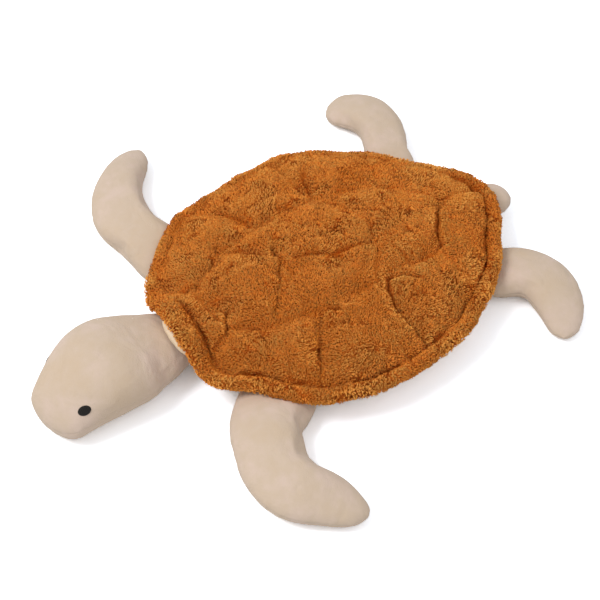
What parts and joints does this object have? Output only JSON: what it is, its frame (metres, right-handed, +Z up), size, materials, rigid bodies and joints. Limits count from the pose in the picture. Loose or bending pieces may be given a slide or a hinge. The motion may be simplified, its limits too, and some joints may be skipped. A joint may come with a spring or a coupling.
{
  "type": "plush turtle",
  "caption": "Plush sea turtle lying flat: quilted curly-plush shell with a rolled rim over a stuffed body, with a stuffed head, flippers and tail that bend at their root seams",
  "frame": {"origin": "on the flat underside of the belly, on the toy's plane of symmetry, below the front half of the shell", "axes": "+Z up, +Y from the head towards the tail, +X to the turtle's own left"},
  "size_m": [0.4367, 0.4481, 0.057],
  "materials": {
    "rust_curly_plush": "curly teddy plush, rust brown",
    "cream_cotton_plush": "short-nap cream plush",
    "cream_lining": "plain woven lining",
    "polyester_fill": "white fibre filling",
    "black_embroidery": "satin-stitched black thread"
  },
  "bodies": {
    "body": {"belly_panel": "cream_cotton_plush", "body_stuffing": "polyester_fill", "shell_lining": "cream_lining", "shell_wadding": "polyester_fill", "shell_plush": "rust_curly_plush"},
    "front_left_flipper": {"front_left_flipper_upper_panel": "cream_cotton_plush", "front_left_flipper_lower_panel": "cream_cotton_plush", "front_left_flipper_stuffing": "polyester_fill"},
    "front_right_flipper": {"front_right_flipper_upper_panel": "cream_cotton_plush", "front_right_flipper_lower_panel": "cream_cotton_plush", "front_right_flipper_stuffing": "polyester_fill"},
    "rear_left_flipper": {"rear_left_flipper_upper_panel": "cream_cotton_plush", "rear_left_flipper_lower_panel": "cream_cotton_plush", "rear_left_flipper_stuffing": "polyester_fill"},
    "rear_right_flipper": {"rear_right_flipper_upper_panel": "cream_cotton_plush", "rear_right_flipper_lower_panel": "cream_cotton_plush", "rear_right_flipper_stuffing": "polyester_fill"},
    "tail": {"tail_upper_panel": "cream_cotton_plush", "tail_lower_panel": "cream_cotton_plush", "tail_stuffing": "polyester_fill"},
    "head": {"head_upper_panel": "cream_cotton_plush", "head_lower_panel": "cream_cotton_plush", "head_stuffing": "polyester_fill", "left_eye": "black_embroidery", "right_eye": "black_embroidery"}
  },
  "joints": [
    {"name": "neck_nod", "type": "hinge", "parent": "body", "child": "head", "pos_m": [0, -0.1145, 0.021], "axis": [-1, 0, 0], "range_deg": [-30, 20], "stiffness_Nm_per_rad": 0.06},
    {"name": "front_left_flipper_lift", "type": "hinge", "parent": "body", "child": "front_left_flipper", "pos_m": [0.09098, -0.06679, 0.013], "axis": [-0.6833, -0.7302, 0], "range_deg": [-25, 35], "stiffness_Nm_per_rad": 0.03},
    {"name": "front_right_flipper_lift", "type": "hinge", "parent": "body", "child": "front_right_flipper", "pos_m": [-0.09098, -0.06679, 0.013], "axis": [-0.6833, 0.7302, 0], "range_deg": [-25, 35], "stiffness_Nm_per_rad": 0.03},
    {"name": "rear_left_flipper_lift", "type": "hinge", "parent": "body", "child": "rear_left_flipper", "pos_m": [0.07459, 0.16647, 0.013], "axis": [0.7161, -0.698, 0], "range_deg": [-25, 35], "stiffness_Nm_per_rad": 0.02},
    {"name": "rear_right_flipper_lift", "type": "hinge", "parent": "body", "child": "rear_right_flipper", "pos_m": [-0.07459, 0.16647, 0.013], "axis": [0.7161, 0.698, 0], "range_deg": [-25, 35], "stiffness_Nm_per_rad": 0.02},
    {"name": "tail_lift", "type": "hinge", "parent": "body", "child": "tail", "pos_m": [0, 0.2083, 0.015], "axis": [1, 0, 0], "range_deg": [-20, 25], "stiffness_Nm_per_rad": 0.01}
  ]
}
